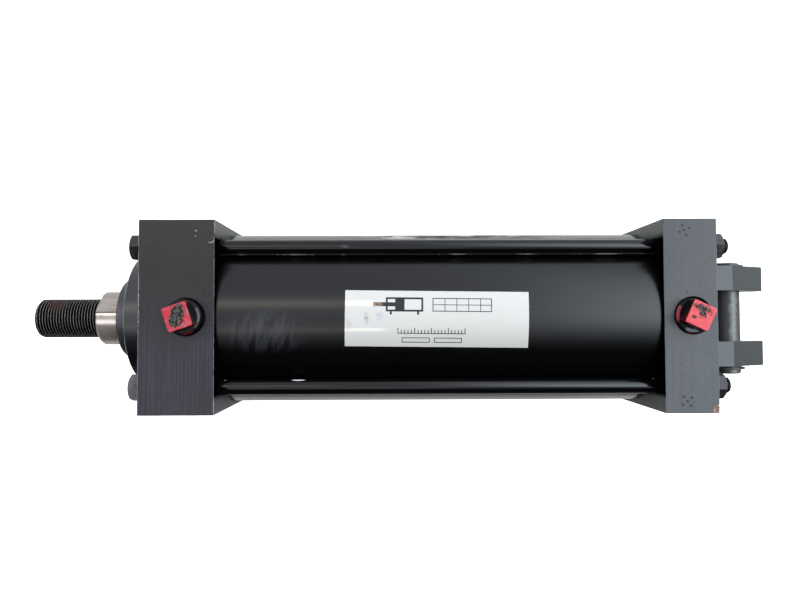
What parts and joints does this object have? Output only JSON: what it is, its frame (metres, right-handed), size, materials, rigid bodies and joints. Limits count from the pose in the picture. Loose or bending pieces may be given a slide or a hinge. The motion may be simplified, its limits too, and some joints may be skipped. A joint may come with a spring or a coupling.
{
  "type": "hydraulic cylinder",
  "caption": "Double-acting tie-rod hydraulic cylinder with a square head and cap, a threaded piston rod, plugged ports, and a fixed clevis with its pin.",
  "frame": {"origin": "centre of the clevis pin, where the bore axis crosses it", "axes": "+X along the bore axis from the rod end to the clevis end, +Y along the clevis pin, +Z out of the ports"},
  "size_m": [0.4779, 0.1142, 0.1303],
  "materials": {
    "head_paint": "satin black paint, brushed under it",
    "cap_paint": "satin dark grey paint",
    "tube_paint": "gloss black paint",
    "tie_rod_paint": "gloss black paint",
    "nut_steel": "dark painted steel",
    "retainer_paint": "satin black paint",
    "screw_steel": "black oxide",
    "bearing_iron": "satin black",
    "wiper_rubber": "matte",
    "seal_rubber": "matte",
    "rod_steel": "ground, with a blackened thread",
    "piston_iron": "machined",
    "wear_band": "matte",
    "pin_steel": "dark, worn",
    "ring_steel": "black oxide",
    "plug_red": "satin red plastic",
    "label_film": "gloss white film"
  },
  "bodies": {
    "barrel": {"head": "head_paint", "cap": "cap_paint", "tube": "tube_paint", "tie_rod_1": "tie_rod_paint", "tie_rod_2": "tie_rod_paint", "tie_rod_3": "tie_rod_paint", "tie_rod_4": "tie_rod_paint", "head_nut_1": "nut_steel", "head_nut_2": "nut_steel", "head_nut_3": "nut_steel", "head_nut_4": "nut_steel", "cap_nut_1": "nut_steel", "cap_nut_2": "nut_steel", "cap_nut_3": "nut_steel", "cap_nut_4": "nut_steel", "retainer_plate": "retainer_paint", "retainer_screw_1": "screw_steel", "retainer_screw_2": "screw_steel", "retainer_screw_3": "screw_steel", "retainer_screw_4": "screw_steel", "rod_bearing": "bearing_iron", "rod_wiper": "wiper_rubber", "rod_seal": "seal_rubber", "bearing_o_ring": "seal_rubber", "tube_seal_head": "seal_rubber", "tube_seal_cap": "seal_rubber", "label": "label_film"},
    "piston_seals": {"piston_seal_front": "seal_rubber", "piston_seal_rear": "seal_rubber", "wear_ring": "wear_band"},
    "rod": {"piston_rod": "rod_steel", "piston": "piston_iron", "piston_nut": "nut_steel", "piston_o_ring": "seal_rubber"},
    "pivot": {"clevis_pin": "pin_steel", "pin_ring_1": "ring_steel", "pin_ring_2": "ring_steel"},
    "head_plug": {"port_plug_head": "plug_red"},
    "cap_plug": {"port_plug_cap": "plug_red"}
  },
  "joints": [
    {"name": "rod_slide", "type": "slide", "parent": "barrel", "child": "piston_seals", "axis": [-1, 0, 0], "range_m": [0, 0.2159]},
    {"name": "rod_spin", "type": "hinge", "parent": "piston_seals", "child": "rod", "pos_m": [-0.08705, 0, 0], "axis": [1, 0, 0], "continuous": true},
    {"name": "clevis_pin_spin", "type": "hinge", "parent": "barrel", "child": "pivot", "pos_m": [0, 0, 0], "axis": [0, 1, 0], "continuous": true},
    {"name": "head_plug_out", "type": "slide", "parent": "barrel", "child": "head_plug", "axis": [0, 0, 1], "range_m": [0, 0.03]},
    {"name": "cap_plug_out", "type": "slide", "parent": "barrel", "child": "cap_plug", "axis": [0, 0, 1], "range_m": [0, 0.03]}
  ]
}
